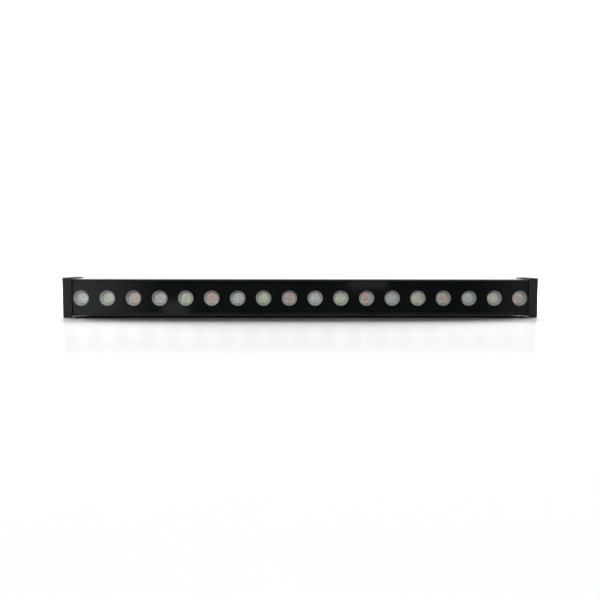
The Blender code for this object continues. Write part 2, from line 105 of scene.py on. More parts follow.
def remap(tree, value, from_low, from_high, to_low, to_high, kind="SMOOTHSTEP"):
    made = node(tree, "ShaderNodeMapRange", interpolation_type=kind)
    for name, number in (
        ("From Min", from_low),
        ("From Max", from_high),
        ("To Min", to_low),
        ("To Max", to_high),
    ):
        made.inputs[name].default_value = number
    tree.links.new(value, made.inputs["Value"])
    return made.outputs["Result"]


# The studio: white behind, dark in front of the bar, with a pale flat off to each side.
world = bpy.data.worlds.new("studio")
bpy.context.scene.world = world
world.use_nodes = True
tree = world.node_tree
tree.nodes.clear()
out = node(tree, "ShaderNodeOutputWorld")
coords = node(tree, "ShaderNodeTexCoord")
split = node(tree, "ShaderNodeSeparateXYZ")
tree.links.new(coords.outputs["Generated"], split.inputs[0])
go_x, go_y, go_z = split.outputs


def card(x_edges, z_edges, strength, soft=0.006):
    """A pale card seen between two directions in X and two in Z, with soft borders."""
    level = strength
    for value, (low_edge, high_edge) in ((go_x, x_edges), (go_z, z_edges)):
        rise = remap(tree, value, low_edge - soft, low_edge + soft, 0.0, 1.0)
        fall = remap(tree, value, high_edge - soft, high_edge + soft, 1.0, 0.0)
        level = maths(tree, "MULTIPLY", maths(tree, "MULTIPLY", rise, fall), level)
    return level


behind = remap(tree, go_y, -0.05, 0.35, 0.0, 1.0)
in_front = remap(tree, go_y, -0.4, -0.1, 1.0, 0.0)
left_flat = remap(tree, go_x, -0.16, -0.30, 0.0, 0.34)
right_flat = remap(tree, go_x, 0.27, 0.38, 0.0, 0.17)
sides = maths(tree, "ADD", left_flat, right_flat)
cards = maths(
    tree,
    "ADD",
    card((-0.174, -0.137), (-0.30, -0.062), 0.24),
    card((0.098, 0.155), (-0.044, 0.2), 0.19),
)
sides = maths(tree, "MULTIPLY", maths(tree, "ADD", sides, cards), in_front)
glow = maths(tree, "ADD", maths(tree, "ADD", behind, sides), 0.025)
seen = node(tree, "ShaderNodeBackground")
tree.links.new(glow, seen.inputs["Strength"])
seen.inputs["Color"].default_value = (0.965, 0.965, 1.0, 1)
ambient = node(tree, "ShaderNodeBackground")
ambient.inputs["Color"].default_value = (1, 1, 1, 1)
ambient.inputs["Strength"].default_value = 0.035
plain = node(tree, "ShaderNodeBackground")
plain.inputs["Color"].default_value = (1, 1, 1, 1)
plain.inputs["Strength"].default_value = 1.05
rays = node(tree, "ShaderNodeLightPath")
for_gloss = node(tree, "ShaderNodeMixShader")
first_bounce = maths(tree, "LESS_THAN", rays.outputs["Diffuse Depth"], 0.5)
tree.links.new(maths(tree, "MULTIPLY", rays.outputs["Is Glossy Ray"], first_bounce), for_gloss.inputs[0])
tree.links.new(ambient.outputs[0], for_gloss.inputs[1])
tree.links.new(seen.outputs[0], for_gloss.inputs[2])
choose = node(tree, "ShaderNodeMixShader")
tree.links.new(rays.outputs["Is Camera Ray"], choose.inputs[0])
tree.links.new(for_gloss.outputs[0], choose.inputs[1])
tree.links.new(plain.outputs[0], choose.inputs[2])
tree.links.new(choose.outputs[0], out.inputs["Surface"])


def softbox(name, location, aim_at, width, height, watts, spread=180):
    data = bpy.data.lights.new(name, "AREA")
    data.shape = "RECTANGLE"
    data.size, data.size_y = width, height
    data.energy = watts
    data.spread = math.radians(spread)
    obj = bpy.data.objects.new(name, data)
    bpy.context.scene.collection.objects.link(obj)
    obj.location = location
    obj.rotation_mode = "QUATERNION"
    obj.rotation_quaternion = (Vector(aim_at) - Vector(location)).to_track_quat("-Z", "Y")
    return obj


# Long softboxes above and behind the bar, each with its height angle and its share of the light.
BACK_WATTS, BACK_REACH, BACK_SPAN = 392.0, 5.0, 10.0
BACK_BOXES = [(56.0, 0.10), (46.0, 0.28), (37.0, 0.41), (28.5, 0.20), (21.0, 0.02)]
for number, (height_angle, share) in enumerate(BACK_BOXES):
    angle = math.radians(height_angle)
    box = softbox(
        f"back_box_{number}",
        (0.0, BACK_REACH * math.cos(angle), BACK_REACH * math.sin(angle)),
        (0.0, 0.0, 0.0),
        BACK_SPAN,
        0.75,
        BACK_WATTS * share / math.sin(angle),
    )
    box.visible_glossy = False
# A low box off each end, behind the bar's line.
for side, s in (("left", -1), ("right", 1)):
    box = softbox(f"end_box_{side}", (s * 1.0, 0.37, 0.19), (s * 0.2, 0.0, 0.0), 0.5, 0.12, 17.5)
    box.visible_glossy = False
# A black flag under the bar's rear edge stops the light from the back passing under it.
flag_shape = bmesh.new()
flag_corners = ((-283, -0.15), (283, -0.15), (283, 5.45), (-283, 5.45))
flag_shape.faces.new([flag_shape.verts.new(Vector((x, FRONT_Y + 37.0, z)) * MM) for x, z in flag_corners])
flag_mesh = bpy.data.meshes.new("flag")
flag_shape.to_mesh(flag_mesh)
flag_shape.free()
flag = bpy.data.objects.new("flag", flag_mesh)
bpy.context.scene.collection.objects.link(flag)
flag.visible_camera = False
flag_look = bpy.data.materials.new("flag_cloth")
flag_look.diffuse_color = (0, 0, 0, 1)
flag_mesh.materials.append(flag_look)
fill = softbox("front_fill", (-0.25, -1.05, 0.62), (0.0, -0.03, 0.03), 1.5, 0.45, 15.2)
fill.visible_glossy = False

floor_shape = bmesh.new()
bmesh.ops.create_grid(floor_shape, x_segments=2, y_segments=2, size=1.0)
bmesh.ops.scale(floor_shape, vec=(3.0, 1.3, 1.0), verts=floor_shape.verts)
floor_mesh = bpy.data.meshes.new("floor")
floor_shape.to_mesh(floor_mesh)
floor_shape.free()
floor = bpy.data.objects.new("floor", floor_mesh)
bpy.context.scene.collection.objects.link(floor)
floor.location.z = -0.0002
floor.visible_glossy = False
floor_look = bpy.data.materials.new("studio_floor")
floor_look.use_nodes = True
tree = floor_look.node_tree
tree.nodes.clear()
out = node(tree, "ShaderNodeOutputMaterial")
matt = node(tree, "ShaderNodeBsdfDiffuse")
matt.inputs["Color"].default_value = (0.93, 0.93, 0.935, 1)
gloss = node(tree, "ShaderNodeBsdfGlossy")
gloss.inputs["Color"].default_value = (1, 1, 1, 1)
gloss.inputs["Roughness"].default_value = 0.14
blend = node(tree, "ShaderNodeMixShader")
# The floor is matt right under the bar.
where = node(tree, "ShaderNodeTexCoord")
apart = node(tree, "ShaderNodeSeparateXYZ")
tree.links.new(where.outputs["Object"], apart.inputs[0])
under = maths(
    tree,
    "MULTIPLY",
    remap(tree, maths(tree, "ABSOLUTE", apart.outputs["Y"]), 0.027, 0.034, 1.0, 0.0),
    remap(tree, maths(tree, "ABSOLUTE", apart.outputs["X"]), 0.285, 0.292, 1.0, 0.0),
)
tree.links.new(remap(tree, under, 0.0, 1.0, 0.30, 0.0, "LINEAR"), blend.inputs[0])
tree.links.new(matt.outputs[0], blend.inputs[1])
tree.links.new(gloss.outputs[0], blend.inputs[2])
tree.links.new(blend.outputs[0], out.inputs["Surface"])
floor_mesh.materials.append(floor_look)
lit_by_fill = bpy.data.collections.new("lit_by_fill")
lit_by_fill.objects.link(floor)
fill.light_linking.receiver_collection = lit_by_fill
lit_by_fill.collection_objects[0].light_linking.link_state = "EXCLUDE"


# ======================= finishes =======================
def vector_from(tree, scale=(1, 1, 1)):
    coords = node(tree, "ShaderNodeTexCoord")
    mapping = node(tree, "ShaderNodeMapping")
    mapping.inputs["Scale"].default_value = scale
    tree.links.new(coords.outputs["Object"], mapping.inputs["Vector"])
    return mapping.outputs["Vector"]


def noise(tree, vector, scale, detail=3.0, roughness=0.55):
    made = node(tree, "ShaderNodeTexNoise")
    made.inputs["Scale"].default_value = scale
    made.inputs["Detail"].default_value = detail
    made.inputs["Roughness"].default_value = roughness
    tree.links.new(vector, made.inputs["Vector"])
    return made.outputs["Fac"]


def mix_colour(tree, factor, first, second):
    made = node(tree, "ShaderNodeMix", data_type="RGBA")
    sockets = [s for s in made.inputs if s.type == "RGBA"]
    for socket, value in zip(sockets, (first, second)):
        if isinstance(value, tuple):
            socket.default_value = (*value, 1.0)
        else:
            tree.links.new(value, socket)
    if isinstance(factor, float):
        made.inputs[0].default_value = factor
    else:
        tree.links.new(factor, made.inputs[0])
    return [s for s in made.outputs if s.type == "RGBA"][0]


def finish(
    name,
    dark,
    light,
    rough,
    metallic=0.0,
    grain=(1, 1, 1),
    grain_scale=900.0,
    bump=0.2,
    bump_mm=0.04,
    patch_scale=22.0,
    wear=None,
    wear_mm=0.5,
    specular=0.5,
    coat=0.0,
):
    """A surface with patchy colour, a fine grain in its relief, varying roughness and worn edges."""
    made = bpy.data.materials.new(name)
    made.use_nodes = True
    tree = made.node_tree
    shader = tree.nodes["Principled BSDF"]
    patch = noise(tree, vector_from(tree), patch_scale, 4.0)
    fine = noise(tree, vector_from(tree, grain), grain_scale, 2.0, 0.6)
    spread = remap(tree, patch, 0.3, 0.7, 0.0, 1.0)
    colour = mix_colour(tree, spread, dark, light)
    if wear:
        soft_edge = node(tree, "ShaderNodeBevel", samples=6)
        soft_edge.inputs["Radius"].default_value = wear_mm * MM
        geometry = node(tree, "ShaderNodeNewGeometry")
        facing = node(tree, "ShaderNodeVectorMath", operation="DOT_PRODUCT")
        tree.links.new(soft_edge.outputs[0], facing.inputs[0])
        tree.links.new(geometry.outputs["Normal"], facing.inputs[1])
        edge = remap(tree, facing.outputs["Value"], 0.985, 0.80, 0.0, 1.0)
        rub = remap(tree, noise(tree, vector_from(tree), 140.0, 5.0), 0.42, 0.66, 0.0, 1.0)
        edge = maths(tree, "MULTIPLY", edge, rub, True)
        colour = mix_colour(tree, edge, colour, wear)
    tree.links.new(colour, shader.inputs["Base Color"])
    blend = maths(tree, "ADD", maths(tree, "MULTIPLY", patch, 0.6), maths(tree, "MULTIPLY", fine, 0.4))
    tree.links.new(
        remap(tree, blend, 0.3, 0.7, rough[0], rough[1], "LINEAR"), shader.inputs["Roughness"]
    )
    relief = node(tree, "ShaderNodeBump")
    relief.inputs["Strength"].default_value = bump
    relief.inputs["Distance"].default_value = bump_mm * MM
    tree.links.new(fine, relief.inputs["Height"])
    tree.links.new(relief.outputs[0], shader.inputs["Normal"])
    shader.inputs["Metallic"].default_value = metallic
    shader.inputs["Specular IOR Level"].default_value = specular
    shader.inputs["Coat Weight"].default_value = coat
    return made


ANODISED = finish(
    "black_anodised", (0.009, 0.009, 0.010), (0.014, 0.014, 0.015), (0.22, 0.31),
    grain=(0.02, 1, 1), grain_scale=2600.0, bump=0.25, bump_mm=0.02, wear=(0.045, 0.045, 0.048), wear_mm=0.35,
)
CAP_PAINT = finish(
    "cap_powder_coat", (0.013, 0.0135, 0.016), (0.019, 0.0195, 0.023), (0.34, 0.46),
    grain_scale=1500.0, bump=0.35, bump_mm=0.05, wear=(0.05, 0.05, 0.052), wear_mm=0.6,
)
BRACKET_PAINT = finish(
    "bracket_powder_coat", (0.012, 0.012, 0.0125), (0.019, 0.019, 0.020), (0.36, 0.50),
    grain_scale=1300.0, bump=0.4, bump_mm=0.05, wear=(0.12, 0.12, 0.12), wear_mm=0.4,
)
MASK = finish(
    "mask_print", (0.0035, 0.0035, 0.004), (0.0055, 0.0055, 0.006), (0.45, 0.6),
    grain_scale=2500.0, bump=0.1, bump_mm=0.01, specular=0.25,
)
RUBBER = finish(
    "black_silicone", (0.010, 0.010, 0.010), (0.018, 0.018, 0.018), (0.62, 0.8),
    grain_scale=1800.0, bump=0.3, bump_mm=0.03,
)
NYLON = finish(
    "black_nylon", (0.014, 0.014, 0.015), (0.024, 0.024, 0.025), (0.36, 0.5),
    grain_scale=1700.0, bump=0.25, bump_mm=0.03, wear=(0.05, 0.05, 0.05), wear_mm=0.4,
)
STEEL = finish(
    "stainless_steel", (0.46, 0.46, 0.455), (0.60, 0.60, 0.59), (0.20, 0.34), metallic=1.0,
    grain_scale=2200.0, bump=0.12, bump_mm=0.01, wear=(0.72, 0.72, 0.71), wear_mm=0.3,
)
CARRIER = finish(
    "carrier_moulding", (0.010, 0.010, 0.010), (0.018, 0.018, 0.018), (0.5, 0.65),
    grain_scale=1400.0, bump=0.3, bump_mm=0.03,
)
BOARD_WHITE = finish(
    "white_solder_mask", (0.70, 0.70, 0.67), (0.80, 0.80, 0.77), (0.35, 0.5),
    grain_scale=900.0, bump=0.1, bump_mm=0.02, patch_scale=120.0,
)
PAD = finish(
    "thermal_pad", (0.30, 0.32, 0.35), (0.38, 0.40, 0.43), (0.75, 0.9),
    grain_scale=700.0, bump=0.3, bump_mm=0.05,
)
BOARD_GREEN = finish(
    "green_solder_mask", (0.010, 0.09, 0.035), (0.018, 0.14, 0.055), (0.32, 0.45),
    grain_scale=900.0, bump=0.15, bump_mm=0.02, patch_scale=180.0,
)
FERRITE = finish(
    "ferrite", (0.035, 0.035, 0.04), (0.07, 0.07, 0.075), (0.5, 0.7),
    grain_scale=1200.0, bump=0.4, bump_mm=0.05,
)
CAN = finish(
    "capacitor_can", (0.42, 0.42, 0.44), (0.56, 0.56, 0.58), (0.25, 0.4), metallic=1.0,
    grain=(0.05, 1, 1), grain_scale=2500.0, bump=0.2, bump_mm=0.01,
)
TERMINAL = finish(
    "terminal_moulding", (0.02, 0.20, 0.06), (0.035, 0.27, 0.09), (0.35, 0.5),
    grain_scale=1200.0, bump=0.2, bump_mm=0.03,
)


def clear_front(name, strength, tint, smudge_scale):
    """A clear pane: it shows what is behind it, and its gloss grows towards a grazing view."""
    made = bpy.data.materials.new(name)
    made.use_nodes = True
    tree = made.node_tree
    shader = tree.nodes["Principled BSDF"]
    out = tree.nodes["Material Output"]
    shader.inputs["Base Color"].default_value = (1, 1, 1, 1)
    shader.inputs["Metallic"].default_value = 1.0
    smudge = noise(tree, vector_from(tree), smudge_scale, 4.0)
    tree.links.new(remap(tree, smudge, 0.35, 0.75, 0.015, 0.06), shader.inputs["Roughness"])
    fresnel = node(tree, "ShaderNodeFresnel")
    fresnel.inputs["IOR"].default_value = 1.5
    share = maths(tree, "MULTIPLY", fresnel.outputs[0], strength, True)
    through = node(tree, "ShaderNodeBsdfTransparent")
    through.inputs["Color"].default_value = (*tint, 1)
    mix = node(tree, "ShaderNodeMixShader")
    tree.links.new(share, mix.inputs[0])
    tree.links.new(through.outputs[0], mix.inputs[1])
    tree.links.new(shader.outputs[0], mix.inputs[2])
    tree.links.new(mix.outputs[0], out.inputs["Surface"])
    return made


GLASS_FRONT = clear_front("cover_glass_front", 1.7, (0.97, 0.985, 0.98), 60.0)
LENS_CLEAR = clear_front("lens_front", 0.8, (0.985, 0.985, 0.985), 300.0)


def clear_edge(name, tint):
    made = bpy.data.materials.new(name)
    made.use_nodes = True
    tree = made.node_tree
    out = tree.nodes["Material Output"]
    tree.nodes.remove(tree.nodes["Principled BSDF"])
    through = node(tree, "ShaderNodeBsdfTransparent")
    through.inputs["Color"].default_value = (*tint, 1)
    tree.links.new(through.outputs[0], out.inputs["Surface"])
    return made


GLASS_BACK = clear_edge("cover_glass_back", (0.96, 0.98, 0.975))


def optic_face(name, dark, light, chip):
    """A frosted face with a fine pillow pattern, tinted in its middle: the emitter's own colour, painted there as the
    magnified image that a clear lens would refract.
    """
    made = bpy.data.materials.new(name)
    made.use_nodes = True
    tree = made.node_tree
    shader = tree.nodes["Principled BSDF"]
    patch = noise(tree, vector_from(tree), 190.0, 4.0)
    cells = node(tree, "ShaderNodeTexVoronoi", feature="F1")
    cells.inputs["Scale"].default_value = 900.0
    tree.links.new(vector_from(tree, (1, 0.0, 1)), cells.inputs["Vector"])
    pillow = remap(tree, cells.outputs["Distance"], 0.1, 0.75, 1.0, 0.0)
    mixed = maths(tree, "ADD", maths(tree, "MULTIPLY", patch, 0.65), maths(tree, "MULTIPLY", pillow, 0.35))
    # the 'middle' attribute marks where the painted refracted image of the emitter shows, and how strongly
    middle = node(tree, "ShaderNodeAttribute", attribute_name="middle")
    colour = mix_colour(tree, remap(tree, mixed, 0.3, 0.7, 0.0, 1.0), dark, light)
    tint = node(tree, "ShaderNodeMix", data_type="RGBA", blend_type="MULTIPLY")
    sockets = [s for s in tint.inputs if s.type == "RGBA"]
    tree.links.new(middle.outputs["Fac"], tint.inputs[0])
    tree.links.new(colour, sockets[0])
    sockets[1].default_value = (*chip, 1.0)
    tree.links.new([s for s in tint.outputs if s.type == "RGBA"][0], shader.inputs["Base Color"])
    tree.links.new(remap(tree, patch, 0.3, 0.7, 0.18, 0.34, "LINEAR"), shader.inputs["Roughness"])
    relief = node(tree, "ShaderNodeBump")
    relief.inputs["Strength"].default_value = 0.5
    relief.inputs["Distance"].default_value = 0.25 * MM
    tree.links.new(pillow, relief.inputs["Height"])
    tree.links.new(relief.outputs[0], shader.inputs["Normal"])
    shader.inputs["Coat Weight"].default_value = 0.3
    return made


OPTIC = {
    "blue": optic_face("optic_blue_off", (0.60, 0.60, 0.605), (0.86, 0.86, 0.87), (0.97, 0.97, 0.96)),
    "green": optic_face("optic_green_off", (0.62, 0.63, 0.56), (0.88, 0.89, 0.80), (0.98, 1.0, 0.80)),
    "red": optic_face("optic_red_off", (0.66, 0.58, 0.55), (0.92, 0.82, 0.78), (1.0, 0.70, 0.64)),
}
FLANK = finish(
    "lens_flank", (0.13, 0.13, 0.133), (0.30, 0.30, 0.30), (0.16, 0.30), metallic=0.35,
    grain_scale=700.0, bump=0.35, bump_mm=0.12, patch_scale=260.0, coat=0.3,
)
LENS_BODY = finish(
    "lens_body", (0.50, 0.51, 0.50), (0.62, 0.63, 0.62), (0.10, 0.22),
    grain_scale=900.0, bump=0.1, bump_mm=0.03, coat=0.3,
)
LENS_NOTCH = finish(
    "lens_notch", (0.008, 0.008, 0.008), (0.016, 0.016, 0.016), (0.5, 0.65),
    grain_scale=1400.0, bump=0.3, bump_mm=0.03,
)


# ======================= mesh helpers =======================
def place(depth, z, x=0.0):
    return Vector((x, FRONT_Y + depth, z)) * MM


def closed_out(shape):
    bmesh.ops.recalc_face_normals(shape, faces=shape.faces)
    if shape.calc_volume(signed=True) < 0:
        bmesh.ops.reverse_faces(shape, faces=shape.faces)


def piece(name, shape, looks, body="fixture", instead_of=(), smooth=32, matrix=None):
    """Makes a piece from a bmesh, in the row frame, riding on a body."""
    if matrix is not None:
        shape.transform(matrix)
    mesh = bpy.data.meshes.new(name)
    shape.to_mesh(mesh)
    shape.free()
    for look in looks:
        mesh.materials.append(look)
    obj = bpy.data.objects.new(name, mesh)
    bpy.context.scene.collection.objects.link(obj)
    mesh.shade_smooth()
    mesh.set_sharp_from_angle(angle=math.radians(smooth))
    even = obj.modifiers.new("flat_faces", "WEIGHTED_NORMAL")
    even.keep_sharp = True
    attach(obj, body)
    if instead_of:
        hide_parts(*instead_of)
    return obj


def circle(a, b, radius, count):
    step = 2 * math.pi / count
    return [(a + radius * math.cos(step * i), b + radius * math.sin(step * i)) for i in range(count)]


def arc(a, b, radius, first, last, count):
    return [
        (
            a + radius * math.cos(math.radians(first + (last - first) * i / count)),
            b + radius * math.sin(math.radians(first + (last - first) * i / count)),
        )
        for i in range(count + 1)
    ]


def rounded(corners, radii, steps=5):
    """A closed outline whose corners are replaced by arcs."""
    made = []
    count = len(corners)
    for i, (corner, radius) in enumerate(zip(corners, radii)):
        here = Vector(corner)
        back = (Vector(corners[i - 1]) - here).normalized()
        ahead = (Vector(corners[(i + 1) % count]) - here).normalized()
        if radius <= 0:
            made.append(tuple(here))
            continue
        half = back.angle(ahead) / 2
        reach = radius / math.tan(half)
        middle = here + (back + ahead).normalized() * (radius / math.sin(half))
        first, last = here + back * reach - middle, here + ahead * reach - middle
        turn = first.angle_signed(last)
        for k in range(steps + 1):
            t = -turn * k / steps
            made.append(
                (
                    middle.x + first.x * math.cos(t) - first.y * math.sin(t),
                    middle.y + first.x * math.sin(t) + first.y * math.cos(t),
                )
            )
    return made


def signed_area(outline):
    return sum(
        a[0] * b[1] - b[0] * a[1] for a, b in zip(outline, outline[1:] + outline[:1])
    ) / 2


ALONG_X = Matrix(((0, 0, 1), (1, 0, 0), (0, 1, 0))).to_4x4()
ALONG_Y = Matrix(((1, 0, 0), (0, 0, -1), (0, 1, 0))).to_4x4()


def plate(outlines, thick, axes, middle, edge=0.0, edge_steps=2):
    """A bmesh of a flat plate with holes, its rims rounded by edge. The first outline is the outer one."""
    curve = bpy.data.curves.new("plate", "CURVE")
    curve.dimensions = "2D"
    curve.fill_mode = "BOTH"
    curve.extrude = (thick / 2 - edge) * MM
    curve.bevel_depth = edge * MM
    curve.bevel_resolution = edge_steps
    curve.offset = -edge * MM
    for number, outline in enumerate(outlines):
        outline = list(outline)
        if (signed_area(outline) > 0) == (number > 0):
            outline.reverse()
        spline = curve.splines.new("POLY")
        spline.points.add(len(outline) - 1)
        for point, (a, b) in zip(spline.points, outline):
            point.co = (a * MM, b * MM, 0.0, 1.0)
        spline.use_cyclic_u = True
    guide = bpy.data.objects.new("plate_outline", curve)
    bpy.context.scene.collection.objects.link(guide)
    guide.matrix_world = Matrix.Translation(middle) @ axes
    bpy.context.view_layer.update()
    graph = bpy.context.evaluated_depsgraph_get()
    mesh = bpy.data.meshes.new_from_object(guide.evaluated_get(graph))
    where = guide.matrix_world.copy()
    bpy.data.objects.remove(guide, do_unlink=True)
    bpy.data.curves.remove(curve)
    shape = bmesh.new()
    shape.from_mesh(mesh)
    bpy.data.meshes.remove(mesh)
    bmesh.ops.remove_doubles(shape, verts=shape.verts, dist=2e-6)
    shape.transform(where)
    closed_out(shape)
    for face in shape.faces:
        face.material_index = 0
    return shape


def cut(shape, cutter, operation="DIFFERENCE"):
    """The bmesh cut or joined by another, as a new bmesh."""
    objects = []
    for name, source in (("cut_base", shape), ("cut_tool", cutter)):
        mesh = bpy.data.meshes.new(name)
        source.to_mesh(mesh)
        source.free()
        obj = bpy.data.objects.new(name, mesh)
        bpy.context.scene.collection.objects.link(obj)
        objects.append(obj)
    base, tool = objects
    step = base.modifiers.new("cut", "BOOLEAN")
    step.operation, step.solver, step.object = operation, "EXACT", tool
    bpy.context.view_layer.update()
    graph = bpy.context.evaluated_depsgraph_get()
    mesh = bpy.data.meshes.new_from_object(base.evaluated_get(graph))
    made = bmesh.new()
    made.from_mesh(mesh)
    bmesh.ops.remove_doubles(made, verts=made.verts, dist=1e-6)
    bmesh.ops.dissolve_degenerate(made, edges=made.edges, dist=1e-7)
    for obj in objects:
        data = obj.data
        bpy.data.objects.remove(obj, do_unlink=True)
        bpy.data.meshes.remove(data)
    bpy.data.meshes.remove(mesh)
    return made


def cylinders(spots, radius, length, direction, segments=40):
    shape = bmesh.new()
    turn = Vector(direction).to_track_quat("Z", "Y").to_matrix().to_4x4()
    for spot in spots:
        bmesh.ops.create_cone(
            shape, cap_ends=True, segments=segments, radius1=radius * MM, radius2=radius * MM,
            depth=length * MM, matrix=Matrix.Translation(spot) @ turn,
        )
    return shape


def loft(levels, steps, closed=False):
    """Rings joined in turn. A level is (height, radius), (height, flat, limit) for a hexagon, or (height,) on the axis."""
    shape = bmesh.new()
    rings = []
    for level in levels:
        height = level[0] * MM
        if len(level) == 1:
            rings.append([shape.verts.new((0, 0, height))])
            continue
        ring = []
        for i in range(steps):
            angle = 2 * math.pi * i / steps
            if len(level) == 2:
                radius = level[1]
            else:
                off = (angle + math.pi / 6) % (math.pi / 3) - math.pi / 6
                radius = min(level[1] / math.cos(off), level[2])
            ring.append(shape.verts.new((radius * math.cos(angle) * MM, radius * math.sin(angle) * MM, height)))
        rings.append(ring)
    pairs = list(zip(rings, rings[1:]))
    if closed:
        pairs.append((rings[-1], rings[0]))
    bands = []
    for first, second in pairs:
        band = []
        for i in range(steps):
            j = (i + 1) % steps
            if len(first) == 1:
                band.append(shape.faces.new((first[0], second[i], second[j])))
            elif len(second) == 1:
                band.append(shape.faces.new((first[i], second[0], first[j])))
            else:
                band.append(shape.faces.new((first[i], second[i], second[j], first[j])))
        bands.append(band)
    closed_out(shape)
    return shape, bands


def aimed(direction, at, spin=0.0):
    turn = Vector(direction).to_track_quat("Z", "Y").to_matrix().to_4x4()
    return Matrix.Translation(at) @ turn @ Matrix.Rotation(spin, 4, "Z")


# ======================= housing extrusion =======================
half_outline = [
    ((BAR_FRONT, BAR_HALF), 0.6),
    ((BAR_BACK - BAR_CHAMFER, BAR_HALF), 1.2),
    ((BAR_BACK, BAR_HALF - BAR_CHAMFER), 0.5),
    ((BAR_BACK, 17.6), 0.3),
    ((BAR_BACK - 2.0, 17.6), 0.3),
    ((BAR_BACK - 2.0, 15.4), 0.3),
    ((BAR_BACK, 15.4), 0.3),
    ((BAR_BACK, 13.4), 0.3),
    ((BAR_BACK - 2.0, 13.4), 0.3),
    ((BAR_BACK - 2.0, 11.2), 0.3),
    ((BAR_BACK, 11.2), 0.3),
]
inner_outline = [
    ((22.3, 20.2), 0.6),
    ((17.0, 20.2), 0.3),
    ((17.0, 14.0), 0.6),
    ((11.0, 14.0), 0.6),
    ((11.0, 20.2), 0.3),
    ((7.2, 20.2), 0.2),
    ((7.2, 21.7), 0.0),
    ((2.0, 21.7), 0.0),
    ((2.0, 20.4), 0.2),
    ((BAR_FRONT, 20.4), 0.35),
]
section = (
    half_outline
    + [((d, -u), r) for (d, u), r in reversed(half_outline)]
    + [((d, -u), r) for (d, u), r in reversed(inner_outline)]
    + inner_outline
)
outline = rounded([(FRONT_Y + d, BAR_Z + u) for (d, u), r in section], [r for _, r in section])
chamber = rounded(
    [
        (FRONT_Y + 25.3, BAR_Z - 14.0),
        (FRONT_Y + 34.0, BAR_Z - 14.0),
        (FRONT_Y + 34.0, BAR_Z + 14.0),
        (FRONT_Y + 25.3, BAR_Z + 14.0),
    ],
    [1.0] * 4,
)
bar = plate(
    [outline, chamber] + [circle(FRONT_Y + d, z, 1.8, 24) for d, z in SCREW_PORTS],
    2 * BAR_HALF_X,
    ALONG_X,
    Vector((0, 0, 0)),
)
bar = cut(
    bar,
    cylinders([place(36.0, BAR_Z, x) for x in (-GLAND_X, GLAND_X)], 6.3, 10.0, (0, 1, 0), 48),
)
piece("bar_extrusion", bar, [ANODISED], instead_of=["housing_extrusion"])

# ======================= glass and mask =======================
GLASS_HALF_X, GLASS_HALF = BAR_HALF_X - 0.3, 21.4
glass = plate(
    [
        rounded(
            [
                (-GLASS_HALF_X, -GLASS_HALF),
                (GLASS_HALF_X, -GLASS_HALF),
                (GLASS_HALF_X, GLASS_HALF),
                (-GLASS_HALF_X, GLASS_HALF),
            ],
            [0.8] * 4,
        )
    ],
    3.0,
    ALONG_Y,
    place(3.8, BAR_Z),
    edge=0.25,
)
for face in glass.faces:
    face.material_index = 0 if face.normal.y < -0.5 else 1
piece("front_glass", glass, [GLASS_FRONT, GLASS_BACK], instead_of=["cover_glass"])

mask = plate(
    [
        rounded(
            [(-290.1, -18.5), (290.1, -18.5), (290.1, 18.5), (-290.1, 18.5)],
            [1.0] * 4,
        )
    ]
    + [circle(x, LED_Z - BAR_Z, 9.85, 64) for x in led_xs],
    1.0,
    ALONG_Y,
    place(6.1, BAR_Z),
    edge=0.12,
    edge_steps=1,
)
piece("window_mask", mask, [MASK], instead_of=["mask_plate"])

# ======================= lenses =======================
LENS_STEPS = 72


def lens_shape():
    """A collimator: a clear flat front, the fluted flank seen through it, and at its foot a face that carries the
    painted image of the magnified emitter.
    """
    levels = [
        (-5.1,),
        (-5.13, 1.2),
        (-5.2, 2.4),
        (-5.35, 3.6),
        (-5.6, 4.8),
        (-6.0, 6.0),
        (-6.35, 6.6),
        (-6.3, 6.95),
        (-5.2, 7.4),
        (-3.6, 8.2),
        (-1.8, 9.1),
        (-0.5, 9.75),
        (-0.12, 9.95),
        (0.0, 10.1),
        (-0.1, 10.25),
        (-0.8, 10.3),
        (-0.8, 8.9),
        (-10.6, 4.8),
        (-10.6, 3.1),
        (-7.4, 2.9),
        (-7.0,),
    ]
    shape, bands = loft(levels, LENS_STEPS)
    for number, band in enumerate(bands):
        for face in band:
            face.material_index = 0 if number < 6 else 1 if number < 12 else 2
    for vertex in shape.verts:
        radius = math.hypot(vertex.co.x, vertex.co.y) / MM
        height = vertex.co.z / MM
        if -6.0 < height < -0.6 and 7.0 < radius < 9.9 and height > -(6.6 - (radius - 6.9) * 1.2) - 2.5:
            angle = math.atan2(vertex.co.y, vertex.co.x)
            swell = 1 + 0.014 * math.cos(24 * angle)
            vertex.co.x *= swell
            vertex.co.y *= swell
    # the dark slot at the foot of the lens, a short curved bar proud of the flank
    spread, near, far = math.radians(17), 7.5, 8.75
    count = 10
    grid = []
    for i in range(count + 1):
        angle = math.radians(-90) - spread + 2 * spread * i / count
        row = []
        for radius, height in ((near, -2.5), (far, -2.5), (far, -5.6), (near, -5.6)):
            row.append(shape.verts.new((radius * math.cos(angle) * MM, radius * math.sin(angle) * MM, height * MM)))
        grid.append(row)
    notch = []
    for first, second in zip(grid, grid[1:]):
        for k in range(4):
            m = (k + 1) % 4
            notch.append(shape.faces.new((first[k], first[m], second[m], second[k])))
    notch.append(shape.faces.new(grid[0]))
    notch.append(shape.faces.new(list(reversed(grid[-1]))))
    bmesh.ops.recalc_face_normals(shape, faces=notch)
    for face in notch:
        face.material_index = 3
    return shape


TINTS = ["blue", "green", "red"]
# radius on the lens face and the share of the painted emitter image there
PAINTED_CHIP_IMAGE_RINGS = [(0.0, 1.0), (2.4, 1.0), (4.0, 0.7), (5.4, 0.2), (6.2, 0.0)]


def painted_chip_image_at(radius):
    for (near, high), (far, low) in zip(PAINTED_CHIP_IMAGE_RINGS, PAINTED_CHIP_IMAGE_RINGS[1:]):
        if radius <= far:
            return high + (low - high) * (radius - near) / (far - near)
    return 0.0


